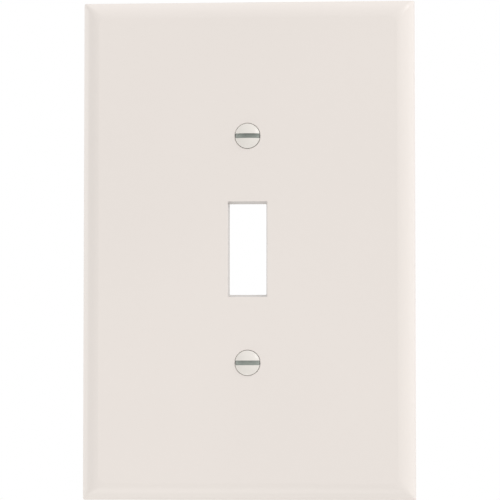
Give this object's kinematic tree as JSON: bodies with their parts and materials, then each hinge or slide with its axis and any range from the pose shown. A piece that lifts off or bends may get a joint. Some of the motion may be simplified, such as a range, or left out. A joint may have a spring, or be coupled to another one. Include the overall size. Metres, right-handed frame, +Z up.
{
  "type": "wall plate",
  "caption": "Oversize flat wall plate with a curved border, a narrow upright opening for a switch toggle, and slotted oval-head screws above and below it.",
  "frame": {"origin": "centre of the plate on the wall's surface, which the back rim rests on", "axes": "+X to the right as seen from the room, +Y into the wall, +Z up; the face looks along -Y"},
  "size_m": [0.0888, 0.0136, 0.1334],
  "materials": {
    "plate_moulding": "light almond moulded plastic, semi-gloss",
    "screw_enamel": "light almond enamel on the head, zinc on the thread"
  },
  "bodies": {
    "plate": {"wall_plate": "plate_moulding"},
    "top_screw": {"top_screw": "screw_enamel"},
    "bottom_screw": {"bottom_screw": "screw_enamel"}
  },
  "joints": [
    {"name": "top_screw_withdraw", "type": "slide", "parent": "plate", "child": "top_screw", "axis": [0, -1, 0], "range_m": [0, 0.014]},
    {"name": "bottom_screw_withdraw", "type": "slide", "parent": "plate", "child": "bottom_screw", "axis": [0, -1, 0], "range_m": [0, 0.014]}
  ]
}
